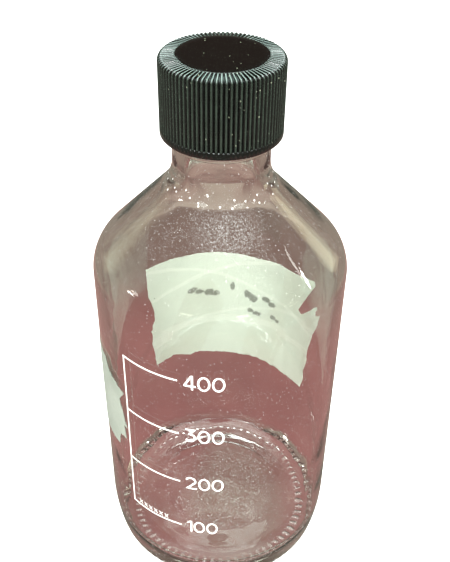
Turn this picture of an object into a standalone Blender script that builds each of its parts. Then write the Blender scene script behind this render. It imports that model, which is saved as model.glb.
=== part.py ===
"""A 500 mL reagent bottle: moulded glass, a ribbed screw cap with its liner, a printed scale
and the remains of two paper labels.

The bottle stands on z = 0 with its axis on the world Z axis. Azimuths are measured about that
axis: 0 is the front of the bottle (-Y) and 90 is its right side (+X).
"""

import math

import bmesh
import bpy
from mathutils import Matrix, Vector

MM = 0.001

# Bottle, outside
BODY_RADIUS = 40.28 * MM
HEEL_SWEEP = 75.0 * MM
HEEL_ANGLE = math.radians(12)
TOE_RADIUS = 3.0 * MM
SHOULDER_Z = 116.02 * MM
SHOULDER_RADIUS = 11.91 * MM
CONE_ANGLE = math.radians(43.1)
NECK_RADIUS = 14.53 * MM
NECK_FILLET = 13.19 * MM
BEAD_Z = 160.3 * MM
BEAD_HEIGHT = 2.4 * MM
BEAD_DEPTH = 1.0 * MM
LIP_Z = 180.3 * MM
LIP_ROUND = 0.9 * MM

# Bottle, inside and underneath
WALL = 2.82 * MM
BORE_RADIUS = 11.25 * MM
INNER_SHOULDER_DROP = 1.24 * MM
INNER_SHOULDER_RADIUS = 10.9 * MM
FLOOR_CENTRE_Z = 6.0 * MM
FLOOR_EDGE_Z = 5.0 * MM
FLOOR_CORNER_WIDTH = 18.0 * MM
FLOOR_CORNER_HEIGHT = 7.5 * MM
FOOT_INNER_RADIUS = 31.6 * MM
PUSH_UP = 3.0 * MM
BOTTLE_STEPS = 72

# The ring of short grooves in the foot
KNURLS = 72
KNURL_RADIUS = 33.8 * MM
KNURL_LENGTH = 3.4 * MM
KNURL_WIDTH = 1.3 * MM
KNURL_DEPTH = 0.8 * MM

# The screw thread, single start and right-handed
PITCH = 25.4 * MM / 6
THREAD_POINTS = 24
THREAD_START_Z = 168.6 * MM
BOTTLE_THREAD_TURNS = 1.75
BOTTLE_THREAD_SECTION = 1.2 * MM
BOTTLE_THREAD_CREST = 15.9 * MM
CAP_THREAD_TURNS = 2.0
CAP_THREAD_SECTION = 0.95 * MM
CAP_THREAD_CREST = 15.1 * MM
THREAD_END_SCALE = 0.4
THREAD_LEAD_IN = math.radians(40)

# Cap
CAP_RADIUS = 17.85 * MM
CAP_BOTTOM_Z = 161.69 * MM
CAP_TOP_Z = 184.88 * MM
CAP_TOP_THICKNESS = 2.08 * MM
CAP_ROOT_RADIUS = 16.3 * MM
CAP_CORNER = 1.2 * MM
CAP_TOP_SLOPE = 0.3 * MM
PANEL_RADIUS = 12.95 * MM
BAND_HEIGHT = 2.0 * MM
EDGE_CHAMFER = 0.35 * MM
RIBS = 84
RIB_DEPTH = 0.5 * MM

# Liner, a soft board with a thin facing that seals on the lip
LINER_RADIUS = 16.0 * MM
FACING_THICKNESS = 0.4 * MM
BACKING_THICKNESS = 1.4 * MM
GAP = 0.3 * MM
LINER_GAP = 0.1 * MM
LINER_STEPS = 48

# Print and paper on the outside of the body
SHEET_GAP = 0.1 * MM
PRINT_THICKNESS = 0.15 * MM
PAPER_THICKNESS = 0.2 * MM
SHEET_BEND_STEP = math.radians(5)

# Printed scale: one line every 100 mL, tied together by a vertical line
LINE_WIDTH = 0.58 * MM
LINE_100_Z = 31.64 * MM
LINE_SPACING = 22.68 * MM
SCALE_LEFT = -46.2
SCALE_RIGHT = -17.5
NUMERALS = ("100", "200", "300", "400")

# Numerals beside the lines
DIGIT_HEIGHT = 5.8 * MM
DIGIT_WIDTH = 3.7 * MM
ONE_WIDTH = 1.9 * MM
ZERO_WIDTH = 3.95 * MM
DIGIT_STROKE = 0.64 * MM
DIGIT_SPACE = 0.45 * MM
DIGIT_RISE = 0.1 * MM
DIGITS_LEFT = -14.7

# A row of small crosses on the lowest line
NOTE_MARKS = 6
NOTE_LEFT = -41.0
NOTE_RIGHT = -25.5
NOTE_Z = 33.5 * MM
NOTE_WIDTH = 1.3 * MM
NOTE_HEIGHT = 1.8 * MM
NOTE_STROKE = 0.26 * MM

# Torn edges of the paper, as (azimuth in degrees, height in mm)
BACK_LABEL_EDGE = (
    (225.6, 91.0), (131.6, 90.7), (120.3, 93.0), (117.1, 91.1), (124.5, 79.6), (127.8, 74.8),
    (125.1, 74.0), (111.5, 84.2), (114.3, 76.6), (119.5, 63.8), (119.4, 54.8), (123.5, 40.5),
    (131.6, 40.4), (150.2, 42.8), (171.3, 42.6), (196.6, 43.6), (210.3, 45.7), (221.3, 44.6),
    (224.7, 63.5), (222.3, 64.3), (222.2, 69.4), (224.3, 76.1),
)
SIDE_LABEL_EDGE = (
    (-95.0, 87.5), (-65.3, 89.1), (-61.7, 85.4), (-48.6, 82.3), (-52.4, 77.9), (-49.0, 69.5),
    (-47.5, 66.6), (-49.8, 67.4), (-49.1, 61.2), (-54.1, 61.1), (-55.9, 55.0), (-66.4, 54.3),
    (-95.0, 55.5), (-93.0, 66.0), (-96.0, 78.0),
)


def clear_scene():
    for thing in list(bpy.data.objects):
        bpy.data.objects.remove(thing, do_unlink=True)


def new_collection(name):
    collection = bpy.data.collections.new(name)
    bpy.context.scene.collection.children.link(collection)
    return collection


def new_material(name, color, roughness, metallic=0.0, transmission=0.0):
    material = bpy.data.materials.new(name)
    material.use_nodes = True
    shader = material.node_tree.nodes["Principled BSDF"]
    shader.inputs["Base Color"].default_value = (*color, 1.0)
    shader.inputs["Roughness"].default_value = roughness
    shader.inputs["Metallic"].default_value = metallic
    shader.inputs["Transmission Weight"].default_value = transmission
    return material


def add_object(name, mesh, collection):
    thing = bpy.data.objects.new(name, mesh)
    collection.objects.link(thing)
    return thing


def finish_part(thing, material, crease=30):
    """Gives a part its material and smooth shading, with an edge kept sharp above the crease."""
    thing.data.materials.clear()
    thing.data.materials.append(material)
    thing.data.shade_smooth()
    thing.data.set_sharp_from_angle(angle=math.radians(crease))
    return thing


def arc(center, radius, start, end, steps):
    """Points of a circular arc in the profile plane, both ends included; angles in radians."""
    angles = [start + (end - start) * step / steps for step in range(steps + 1)]
    return [
        (center[0] + radius * math.cos(angle), center[1] + radius * math.sin(angle))
        for angle in angles
    ]


def turned(name, profile, steps, collection):
    """A profile of (radius, height) points turned about the Z axis."""
    mesh = bpy.data.meshes.new(name)
    edges = [(index, index + 1) for index in range(len(profile) - 1)]
    mesh.from_pydata([(radius, 0, height) for radius, height in profile], edges, [])
    thing = add_object(name, mesh, collection)
    screw = thing.modifiers.new("turn", "SCREW")
    screw.steps = steps
    screw.render_steps = steps
    screw.use_merge_vertices = True
    screw.merge_threshold = 0.00001
    screw.use_smooth_shade = True
    return thing


def bake_modifiers(thing):
    """Replaces the object's mesh with what its modifiers make of it."""
    bpy.context.view_layer.update()
    evaluated = thing.evaluated_get(bpy.context.evaluated_depsgraph_get())
    mesh = bpy.data.meshes.new_from_object(evaluated)
    thing.modifiers.clear()
    thing.data = mesh


def mesh_from_curve(curve_object, collection):
    """A mesh object in place of a curve object, with its caps welded to its sides."""
    bpy.context.view_layer.update()
    evaluated = curve_object.evaluated_get(bpy.context.evaluated_depsgraph_get())
    mesh = bpy.data.meshes.new_from_object(evaluated)
    name = curve_object.name
    matrix = curve_object.matrix_world.copy()
    bpy.data.objects.remove(curve_object, do_unlink=True)
    work = bmesh.new()
    work.from_mesh(mesh)
    bmesh.ops.remove_doubles(work, verts=work.verts, dist=0.000001)
    work.to_mesh(mesh)
    work.free()
    thing = add_object(name, mesh, collection)
    thing.matrix_world = matrix
    return thing


def add_boolean(thing, other, operation):
    modifier = thing.modifiers.new(other.name, "BOOLEAN")
    modifier.operation = operation
    modifier.object = other
    other.hide_render = True
    other.display_type = "WIRE"


def dome(rim_radius, rim_z, centre_z, steps):
    """A shallow dome's profile from its centre on the axis out to its rim."""
    radii = [rim_radius * step / steps for step in range(steps + 1)]
    return [
        (radius, centre_z + (rim_z - centre_z) * (radius / rim_radius) ** 2) for radius in radii
    ]


def inner_profile():
    """From the middle of the floor up the inside of the wall to the rounded lip."""
    corner_r = BODY_RADIUS - WALL - FLOOR_CORNER_WIDTH
    neck_center = (NECK_RADIUS + NECK_FILLET, shoulder_neck_z())
    neck_fillet = neck_center[0] - BORE_RADIUS
    shoulder_r = BODY_RADIUS - WALL - INNER_SHOULDER_RADIUS
    shoulder_center = (shoulder_r, SHOULDER_Z - INNER_SHOULDER_DROP)
    lip_center = (BORE_RADIUS + LIP_ROUND, LIP_Z - LIP_ROUND)
    points = dome(corner_r, FLOOR_EDGE_Z, FLOOR_CENTRE_Z, 2)
    points += floor_corner(corner_r)
    points += arc(shoulder_center, INNER_SHOULDER_RADIUS, 0, CONE_ANGLE, 3)
    points += arc(neck_center, neck_fillet, math.pi + CONE_ANGLE, math.pi, 3)
    points += arc(lip_center, LIP_ROUND, math.pi, math.pi / 2, 2)
    return points


def floor_corner(start_r):
    """A quarter ellipse that sweeps the inside floor up into the wall, its first point left out."""
    angles = [math.pi / 2 * step / 5 for step in range(1, 6)]
    return [
        (
            start_r + FLOOR_CORNER_WIDTH * math.sin(angle),
            FLOOR_EDGE_Z + FLOOR_CORNER_HEIGHT * (1 - math.cos(angle)),
        )
        for angle in angles
    ]


def shoulder_neck_z():
    """Height where the concave neck fillet turns into the straight neck."""
    cone_foot_r = BODY_RADIUS - SHOULDER_RADIUS * (1 - math.cos(CONE_ANGLE))
    cone_head_r = NECK_RADIUS + NECK_FILLET * (1 - math.cos(CONE_ANGLE))
    cone_rise = (cone_foot_r - cone_head_r) / math.tan(CONE_ANGLE)
    arcs_rise = (SHOULDER_RADIUS + NECK_FILLET) * math.sin(CONE_ANGLE)
    return SHOULDER_Z + arcs_rise + cone_rise


def outer_profile():
    """From the lip down the neck, shoulder and body to the middle of the base."""
    lip_center = (NECK_RADIUS - LIP_ROUND, LIP_Z - LIP_ROUND)
    neck_center = (NECK_RADIUS + NECK_FILLET, shoulder_neck_z())
    shoulder_center = (BODY_RADIUS - SHOULDER_RADIUS, SHOULDER_Z)
    points = arc(lip_center, LIP_ROUND, math.pi / 2, 0, 2)
    points += bead_profile()
    points += arc(neck_center, NECK_FILLET, math.pi, math.pi + CONE_ANGLE, 4)
    points += arc(shoulder_center, SHOULDER_RADIUS, CONE_ANGLE, 0, 4)
    points += heel_profile()
    points += reversed(dome(FOOT_INNER_RADIUS, 0, PUSH_UP, 3))
    return points


def bead_profile():
    """The low rounded bead below the thread."""
    angles = [math.pi * step / 4 for step in range(5)]
    return [
        (NECK_RADIUS + BEAD_DEPTH * math.sin(angle), BEAD_Z + BEAD_HEIGHT / 2 * math.cos(angle))
        for angle in angles
    ]


def heel_profile():
    """A long sweep in from the foot of the wall, then a small round toe down to the standing ring."""
    sweep_center = (
        BODY_RADIUS - HEEL_SWEEP,
        TOE_RADIUS * (1 - math.sin(HEEL_ANGLE)) + HEEL_SWEEP * math.sin(HEEL_ANGLE),
    )
    sweep = arc(sweep_center, HEEL_SWEEP, 0, -HEEL_ANGLE, 3)
    toe_center = (sweep[-1][0] - TOE_RADIUS * math.cos(HEEL_ANGLE), TOE_RADIUS)
    return sweep + arc(toe_center, TOE_RADIUS, -HEEL_ANGLE, -math.pi / 2, 3)[1:]


def thread_ridge(name, root, crest, section, start_z, turns, collection):
    """A round helical ridge standing from the root radius to the crest; its ends sink into the wall."""
    outward = 1 if crest > root else -1
    full_center = crest - outward * section
    sunk_center = root - outward * (section * THREAD_END_SCALE + LINER_GAP)
    count = round(turns * THREAD_POINTS)
    curve = bpy.data.curves.new(name, "CURVE")
    curve.dimensions = "3D"
    curve.bevel_depth = section
    curve.bevel_resolution = 1
    curve.use_fill_caps = True
    spline = curve.splines.new("POLY")
    spline.points.add(count)
    for index, point in enumerate(spline.points):
        angle = 2 * math.pi * turns * index / count
        lead = min(1, angle / THREAD_LEAD_IN, (2 * math.pi * turns - angle) / THREAD_LEAD_IN)
        center = sunk_center + (full_center - sunk_center) * lead
        height = start_z + PITCH * angle / (2 * math.pi)
        point.co = (center * math.cos(angle), center * math.sin(angle), height, 1)
        point.radius = THREAD_END_SCALE + (1 - THREAD_END_SCALE) * lead
    return mesh_from_curve(add_object(name, curve, collection), collection)


def knurl_cutter(collection):
    """A ring of short radial bars that cuts the grooves of the standing ring."""
    work = bmesh.new()
    size = Matrix.Diagonal((KNURL_LENGTH, KNURL_WIDTH, 2 * KNURL_DEPTH, 1))
    for index in range(KNURLS):
        turn = Matrix.Rotation(2 * math.pi * (index + 0.5) / KNURLS, 4, "Z")
        place = turn @ Matrix.Translation((KNURL_RADIUS, 0, 0)) @ size
        bmesh.ops.create_cube(work, size=1, matrix=place)
    mesh = bpy.data.meshes.new("knurl_cutter")
    work.to_mesh(mesh)
    work.free()
    return add_object("knurl_cutter", mesh, collection)


def make_bottle(parts, cutters, glass):
    bottle = turned("bottle", inner_profile() + outer_profile(), BOTTLE_STEPS, parts)
    thread = thread_ridge(
        "bottle_thread",
        NECK_RADIUS,
        BOTTLE_THREAD_CREST,
        BOTTLE_THREAD_SECTION,
        THREAD_START_Z,
        BOTTLE_THREAD_TURNS,
        cutters,
    )
    bake_modifiers(bottle)
    add_boolean(bottle, thread, "UNION")
    add_boolean(bottle, knurl_cutter(cutters), "DIFFERENCE")
    return finish_part(bottle, glass)


def cap_profile():
    """Over the top and down the ribbed side, then up the inside to the ceiling."""
    corner = (CAP_RADIUS - CAP_CORNER, CAP_TOP_Z - CAP_TOP_SLOPE - CAP_CORNER)
    ceiling_z = CAP_TOP_Z - CAP_TOP_THICKNESS
    band_z = CAP_BOTTOM_Z + BAND_HEIGHT
    points = [(0, CAP_TOP_Z), (PANEL_RADIUS, CAP_TOP_Z), (PANEL_RADIUS + RIB_DEPTH, CAP_TOP_Z)]
    points += arc(corner, CAP_CORNER, math.pi / 2, 0, 3)
    points += [
        (CAP_RADIUS, band_z + RIB_DEPTH),
        (CAP_RADIUS, band_z),
        (CAP_RADIUS, CAP_BOTTOM_Z + EDGE_CHAMFER),
        (CAP_RADIUS - EDGE_CHAMFER, CAP_BOTTOM_Z),
        (CAP_ROOT_RADIUS + EDGE_CHAMFER, CAP_BOTTOM_Z),
        (CAP_ROOT_RADIUS, CAP_BOTTOM_Z + EDGE_CHAMFER),
        (CAP_ROOT_RADIUS, ceiling_z),
        (0, ceiling_z),
    ]
    return points


def cut_ribs(mesh):
    """Insets every second line of the cap's outside, leaving a rib between each two grooves."""
    corner = Vector((CAP_RADIUS - CAP_CORNER, CAP_TOP_Z - CAP_TOP_SLOPE - CAP_CORNER))
    groove_foot = CAP_BOTTOM_Z + BAND_HEIGHT + RIB_DEPTH / 2
    groove_head = PANEL_RADIUS + RIB_DEPTH / 2
    for vertex in mesh.vertices:
        radius = math.hypot(vertex.co.x, vertex.co.y)
        step = round(math.atan2(vertex.co.y, vertex.co.x) / (math.pi / RIBS))
        on_side = radius > CAP_RADIUS - CAP_CORNER / 2 and vertex.co.z > groove_foot
        on_top = radius > groove_head and vertex.co.z > corner.y + CAP_CORNER / 2
        if step % 2 == 0 or not (on_side or on_top):
            continue
        here = Vector((radius, vertex.co.z))
        core = Vector((min(radius, corner.x), min(vertex.co.z, corner.y)))
        inset = here + (core - here).normalized() * RIB_DEPTH
        vertex.co.x *= inset.x / radius
        vertex.co.y *= inset.x / radius
        vertex.co.z = inset.y


def make_cap(parts, cutters, plastic):
    cap = turned("screw_cap", cap_profile(), 2 * RIBS, parts)
    bake_modifiers(cap)
    cut_ribs(cap.data)
    thread = thread_ridge(
        "cap_thread",
        CAP_ROOT_RADIUS,
        CAP_THREAD_CREST,
        CAP_THREAD_SECTION,
        THREAD_START_Z - PITCH / 2,
        CAP_THREAD_TURNS,
        cutters,
    )
    add_boolean(cap, thread, "UNION")
    return finish_part(cap, plastic)


def disc(name, radius, bottom_z, thickness, parts, material):
    bpy.ops.mesh.primitive_cylinder_add(
        vertices=LINER_STEPS,
        radius=radius,
        depth=thickness,
        location=(0, 0, bottom_z + thickness / 2),
    )
    thing = bpy.context.active_object
    thing.name = name
    thing.data.name = name
    for collection in list(thing.users_collection):
        collection.objects.unlink(thing)
    parts.objects.link(thing)
    return finish_part(thing, material)


def make_liner(parts, board, film):
    facing_z = LIP_Z + GAP
    backing_z = facing_z + FACING_THICKNESS + LINER_GAP
    disc("liner_facing", LINER_RADIUS, facing_z, FACING_THICKNESS, parts, film)
    disc("liner_backing", LINER_RADIUS, backing_z, BACKING_THICKNESS, parts, board)


def wrapped_sheet(name, outlines, thickness, parts, material):
    """A sheet cut to flat outlines of (arc length, height), then bent round the body.

    The first outline is the outside edge; any others are holes.
    """
    curve = bpy.data.curves.new(name, "CURVE")
    curve.dimensions = "2D"
    curve.fill_mode = "BOTH"
    curve.extrude = thickness / 2
    for outline in outlines:
        spline = curve.splines.new("POLY")
        spline.points.add(len(outline) - 1)
        spline.use_cyclic_u = True
        for point, (along, height) in zip(spline.points, outline):
            point.co = (along, height, 0, 1)
    sheet = mesh_from_curve(add_object(name, curve, parts), parts)
    bend_round_body(sheet.data, thickness)
    return finish_part(sheet, material)


def bend_round_body(mesh, thickness):
    """Cuts a flat sheet into strips at even azimuths, then bends it about the Z axis."""
    step = SHEET_BEND_STEP * BODY_RADIUS
    middle_radius = BODY_RADIUS + SHEET_GAP + thickness / 2
    work = bmesh.new()
    work.from_mesh(mesh)
    along = [vertex.co.x for vertex in work.verts]
    for index in range(math.ceil(min(along) / step), math.floor(max(along) / step) + 1):
        geometry = work.verts[:] + work.edges[:] + work.faces[:]
        cut_at = (index * step, 0, 0)
        bmesh.ops.bisect_plane(work, geom=geometry, plane_co=cut_at, plane_no=(1, 0, 0))
    for vertex in work.verts:
        azimuth = vertex.co.x / BODY_RADIUS
        radius = middle_radius + vertex.co.z
        vertex.co = (radius * math.sin(azimuth), -radius * math.cos(azimuth), vertex.co.y)
    bmesh.ops.remove_doubles(work, verts=work.verts, dist=0.000001)
    bmesh.ops.recalc_face_normals(work, faces=work.faces)
    work.to_mesh(mesh)
    work.free()


def arc_length(azimuth):
    return math.radians(azimuth) * BODY_RADIUS


def stroke(path, width):
    """The outline of a line of even width along an open path."""
    path = [Vector(point) for point in path]
    left = []
    right = []
    for index, point in enumerate(path):
        before = path[max(index - 1, 0)]
        after = path[min(index + 1, len(path) - 1)]
        toward = (point - before).normalized() if index else (after - point).normalized()
        onward = (after - point).normalized() if index < len(path) - 1 else toward
        middle = (toward + onward).normalized()
        across = Vector((-middle.y, middle.x)) * (width / 2) / max(middle.dot(onward), 0.5)
        left.append(point + across)
        right.append(point - across)
    return left + right[::-1]


def ellipse(center, half_width, half_height, start=0.0, end=360.0, steps=20):
    """Points along an ellipse; angles in degrees, a full turn leaves out its repeated end."""
    count = steps if end - start == 360 else steps + 1
    angles = [math.radians(start + (end - start) * step / steps) for step in range(count)]
    return [
        (center[0] + half_width * math.cos(angle), center[1] + half_height * math.sin(angle))
        for angle in angles
    ]


def zero_outlines():
    center = (ZERO_WIDTH / 2, DIGIT_HEIGHT / 2)
    outer = ellipse(center, ZERO_WIDTH / 2, DIGIT_HEIGHT / 2)
    inner = ellipse(center, ZERO_WIDTH / 2 - DIGIT_STROKE, DIGIT_HEIGHT / 2 - DIGIT_STROKE)
    return [outer, inner]


def one_outlines():
    stem_left = ONE_WIDTH - DIGIT_STROKE
    flag_foot = DIGIT_HEIGHT - DIGIT_STROKE
    tip_high = flag_foot - DIGIT_STROKE * 0.8
    tip_low = flag_foot - DIGIT_STROKE * 1.4
    outline = [
        (stem_left, 0),
        (ONE_WIDTH, 0),
        (ONE_WIDTH, DIGIT_HEIGHT),
        (stem_left - DIGIT_STROKE / 3, DIGIT_HEIGHT),
        (0, tip_high),
        (DIGIT_STROKE / 4, tip_low),
        (stem_left, flag_foot),
    ]
    return [outline]


def two_outlines():
    half = DIGIT_STROKE / 2
    bowl = DIGIT_WIDTH / 2 - half
    center = (DIGIT_WIDTH / 2 - half / 2, DIGIT_HEIGHT - half - bowl)
    path = ellipse(center, bowl, bowl, 165, -38, 9)
    path += [(half * 1.3, half), (DIGIT_WIDTH, half)]
    return [stroke(path, DIGIT_STROKE)]


def three_outlines():
    half = DIGIT_STROKE / 2
    bowl = DIGIT_HEIGHT * 0.29
    reach = DIGIT_WIDTH / 2 - half
    center = (DIGIT_WIDTH / 2 - half / 2, half + bowl)
    waist = (DIGIT_WIDTH * 0.42, DIGIT_HEIGHT * 0.6)
    top_right = (DIGIT_WIDTH - DIGIT_STROKE, DIGIT_HEIGHT - half)
    top_left = (half, DIGIT_HEIGHT - half)
    path = ellipse(center, reach, bowl, 212, 405, 9)
    path += [waist, top_right, top_left]
    return [stroke(path, DIGIT_STROKE)]


def four_outlines():
    bar_low = DIGIT_HEIGHT * 0.2
    bar_high = bar_low + DIGIT_STROKE
    stem_left = DIGIT_WIDTH * 0.62
    stem_right = stem_left + DIGIT_STROKE
    slope_top = stem_left - DIGIT_STROKE * 0.2
    outer = [
        (stem_left, 0),
        (stem_right, 0),
        (stem_right, bar_low),
        (DIGIT_WIDTH, bar_low),
        (DIGIT_WIDTH, bar_high),
        (stem_right, bar_high),
        (stem_right, DIGIT_HEIGHT),
        (slope_top, DIGIT_HEIGHT),
        (0, bar_high),
        (0, bar_low),
        (stem_left, bar_low),
    ]
    inner = [
        (stem_left, bar_high),
        (DIGIT_STROKE * 1.15, bar_high),
        (stem_left, DIGIT_HEIGHT - DIGIT_STROKE * 1.6),
    ]
    return [outer, inner]


DIGITS = {
    "0": (ZERO_WIDTH, zero_outlines),
    "1": (ONE_WIDTH, one_outlines),
    "2": (DIGIT_WIDTH, two_outlines),
    "3": (DIGIT_WIDTH, three_outlines),
    "4": (DIGIT_WIDTH, four_outlines),
}


def moved(outlines, along, height):
    return [[(x + along, y + height) for x, y in outline] for outline in outlines]


def scale_line_z(numeral):
    return LINE_100_Z + LINE_SPACING * (int(numeral) // 100 - 1)


def make_scale_lines(parts, enamel):
    """One comb-shaped outline: the upright line and the four lines that leave it."""
    half = LINE_WIDTH / 2
    left = arc_length(SCALE_LEFT)
    right = arc_length(SCALE_RIGHT)
    comb = [(left - half, scale_line_z(NUMERALS[0]) - half)]
    for numeral in NUMERALS:
        height = scale_line_z(numeral)
        if numeral != NUMERALS[0]:
            comb.append((left + half, height - half))
        comb += [(right, height - half), (right, height + half)]
        if numeral != NUMERALS[-1]:
            comb.append((left + half, height + half))
    comb.append((left - half, scale_line_z(NUMERALS[-1]) + half))
    wrapped_sheet("scale_lines", [comb], PRINT_THICKNESS, parts, enamel)


def make_numerals(parts, enamel):
    for numeral in NUMERALS:
        along = arc_length(DIGITS_LEFT)
        foot = scale_line_z(numeral) + DIGIT_RISE - DIGIT_HEIGHT / 2
        for place, digit in enumerate(numeral, start=1):
            width, outlines = DIGITS[digit]
            name = f"numeral_{numeral}_digit_{place}"
            wrapped_sheet(name, moved(outlines(), along, foot), PRINT_THICKNESS, parts, enamel)
            along += width + DIGIT_SPACE


def cross_outline():
    """An X of two crossing strokes, taller than it is wide."""
    half_width = NOTE_WIDTH / 2
    half_height = NOTE_HEIGHT / 2
    lean = math.atan2(half_height, half_width)
    foot = NOTE_STROKE / 2 / math.sin(lean)
    waist_high = NOTE_STROKE / 2 / math.cos(lean)
    outer = half_width + foot
    inner = half_width - foot
    upper = [(foot, 0), (outer, half_height), (inner, half_height), (0, waist_high)]
    upper += [(-inner, half_height), (-outer, half_height), (-foot, 0)]
    lower = [(-x, -y) for x, y in upper[1:-1]]
    return upper + lower


def make_note(parts, enamel):
    first = arc_length(NOTE_LEFT)
    spacing = (arc_length(NOTE_RIGHT) - first) / (NOTE_MARKS - 1)
    for index in range(NOTE_MARKS):
        outlines = moved([cross_outline()], first + spacing * index, NOTE_Z)
        wrapped_sheet(f"note_mark_{index + 1}", outlines, PRINT_THICKNESS, parts, enamel)


def make_paper(name, edge, parts, paper):
    outline = [(arc_length(azimuth), height * MM) for azimuth, height in edge]
    wrapped_sheet(name, [outline], PAPER_THICKNESS, parts, paper)


def main():
    clear_scene()
    parts = new_collection("reagent_bottle")
    cutters = new_collection("cutters")
    glass = new_material("clear_glass", (0.86, 0.84, 0.8), 0.03, transmission=1.0)
    plastic = new_material("black_phenolic", (0.012, 0.016, 0.015), 0.32)
    board = new_material("liner_board", (0.62, 0.55, 0.42), 0.85)
    film = new_material("liner_film", (0.86, 0.86, 0.83), 0.35)
    enamel = new_material("cream_enamel", (0.93, 0.9, 0.82), 0.45)
    paper = new_material("label_paper", (0.72, 0.78, 0.66), 0.8)
    make_bottle(parts, cutters, glass)
    make_cap(parts, cutters, plastic)
    make_liner(parts, board, film)
    make_scale_lines(parts, enamel)
    make_numerals(parts, enamel)
    make_note(parts, enamel)
    make_paper("back_label", BACK_LABEL_EDGE, parts, paper)
    make_paper("side_label_scrap", SIDE_LABEL_EDGE, parts, paper)
    for cutter in cutters.objects:
        cutter.hide_set(True)


main()
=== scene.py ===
"""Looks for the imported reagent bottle: dusty clear glass, a ribbed black cap, fired print and torn paper.

The glass, the cap and the liner are turned from fine profiles in place of the faceted CAD solids.
The print and the paper are finer copies of their CAD solids, seated on the glass.
Azimuths are about the Z axis: 0 is the front (-Y) and a quarter turn is the right side (+X).
"""

import math

import bmesh
import bpy
from mathutils import Matrix, Vector, noise


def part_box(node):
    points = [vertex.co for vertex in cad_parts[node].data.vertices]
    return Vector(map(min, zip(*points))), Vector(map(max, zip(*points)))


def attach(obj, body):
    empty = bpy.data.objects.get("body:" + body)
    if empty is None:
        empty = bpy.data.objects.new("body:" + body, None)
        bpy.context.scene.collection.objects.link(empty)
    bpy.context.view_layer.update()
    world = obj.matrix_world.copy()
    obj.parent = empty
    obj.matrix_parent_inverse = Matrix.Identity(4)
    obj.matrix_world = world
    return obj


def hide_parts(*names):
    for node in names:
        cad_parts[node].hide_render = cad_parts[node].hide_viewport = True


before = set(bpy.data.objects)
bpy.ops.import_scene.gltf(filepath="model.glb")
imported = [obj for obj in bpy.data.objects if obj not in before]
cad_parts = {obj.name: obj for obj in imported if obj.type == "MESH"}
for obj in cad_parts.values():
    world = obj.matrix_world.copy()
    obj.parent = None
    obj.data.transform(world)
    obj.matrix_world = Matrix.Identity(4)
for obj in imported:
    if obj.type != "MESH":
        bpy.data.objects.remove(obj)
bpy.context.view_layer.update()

MM = 0.001

# Sizes read from the frame
BODY_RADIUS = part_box("bottle")[1][0]
LIP_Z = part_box("bottle")[1][2]
CAP_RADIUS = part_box("screw_cap")[1][0]
CAP_BOTTOM_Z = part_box("screw_cap")[0][2]
CAP_TOP_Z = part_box("screw_cap")[1][2]
FACING_BOTTOM_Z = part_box("liner_facing")[0][2]
FACING_TOP_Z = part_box("liner_facing")[1][2]
BACKING_BOTTOM_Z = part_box("liner_backing")[0][2]
BACKING_TOP_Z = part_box("liner_backing")[1][2]
LINER_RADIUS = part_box("liner_backing")[1][0]

# Bottle profile
WALL = 2.82 * MM
HEEL_SWEEP = 75.0 * MM
HEEL_ANGLE = math.radians(12)
TOE_RADIUS = 3.0 * MM
SHOULDER_Z = 116.02 * MM
SHOULDER_RADIUS = 11.91 * MM
CONE_ANGLE = math.radians(43.1)
NECK_RADIUS = 14.53 * MM
NECK_FILLET = 13.19 * MM
BORE_RADIUS = 11.25 * MM
BORE_FILLET = 9.0 * MM
BORE_FILLET_DROP = 2.5 * MM
LIP_ROUND = 0.9 * MM
LIP_STEPS = 6
BEAD_Z = 160.3 * MM
BEAD_HEIGHT = 2.4 * MM
BEAD_DEPTH = 1.0 * MM
INNER_SHOULDER_DROP = 1.24 * MM
INNER_SHOULDER_RADIUS = 10.9 * MM
FLOOR_CENTRE_Z = 6.0 * MM
FLOOR_EDGE_Z = 5.0 * MM
FLOOR_CORNER = 18.0 * MM
FLOOR_CORNER_HEIGHT = 7.5 * MM
FOOT_INNER_RADIUS = 31.6 * MM
PUSH_UP = 3.0 * MM
BASE_MARK_RADIUS = 25.5 * MM
BASE_MARK_HEIGHT = 0.15 * MM
KNURLS = 72
KNURL_RADIUS = 33.8 * MM
KNURL_LENGTH = 3.4 * MM
KNURL_DEPTH = 0.8 * MM
KNURL_SHARPEST = math.radians(10)
KNURL_WORN = 0.25
GLASS_STEPS = 5 * KNURLS

# Waves in the blown glass: their heights, and how many there are round the bottle and to the metre
INNER_WAVE = 0.14 * MM
OUTER_WAVE = 0.03 * MM
WAVES_ROUND = 1.6
WAVES_PER_METRE = 22

# Thread on the neck and in the cap
PITCH = 25.4 * MM / 6
THREAD_START_Z = 168.6 * MM
NECK_THREAD_TURNS = 1.75
NECK_THREAD_HEIGHT = 1.35 * MM
NECK_THREAD_WIDTH = 2.3 * MM
CAP_THREAD_TURNS = 2.0
CAP_THREAD_HEIGHT = 1.15 * MM
CAP_THREAD_WIDTH = 1.8 * MM
THREAD_LEAD_IN = math.radians(40)
THREAD_START_AZIMUTH = math.radians(90)

# Cap profile
CAP_ROOT_RADIUS = 16.3 * MM
CAP_TOP_THICKNESS = 2.08 * MM
CAP_CORNER = 1.3 * MM
CAP_TOP_SLOPE = 0.3 * MM
PANEL_RADIUS = 12.95 * MM
PANEL_STEP = 0.1 * MM
BAND_HEIGHT = 2.0 * MM
EDGE_ROUND = 0.45 * MM
CEILING_ROUND = 0.5 * MM
RIBS = 84
RIB_DEPTH = 0.5 * MM
RIB_FOOT = 0.3 * MM
CAP_STEPS = 8 * RIBS
RING_FALL = CAP_TOP_SLOPE - PANEL_STEP
RING_SLANT = RING_FALL / (CAP_RADIUS - CAP_CORNER - PANEL_RADIUS - PANEL_STEP - RIB_FOOT)

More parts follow.
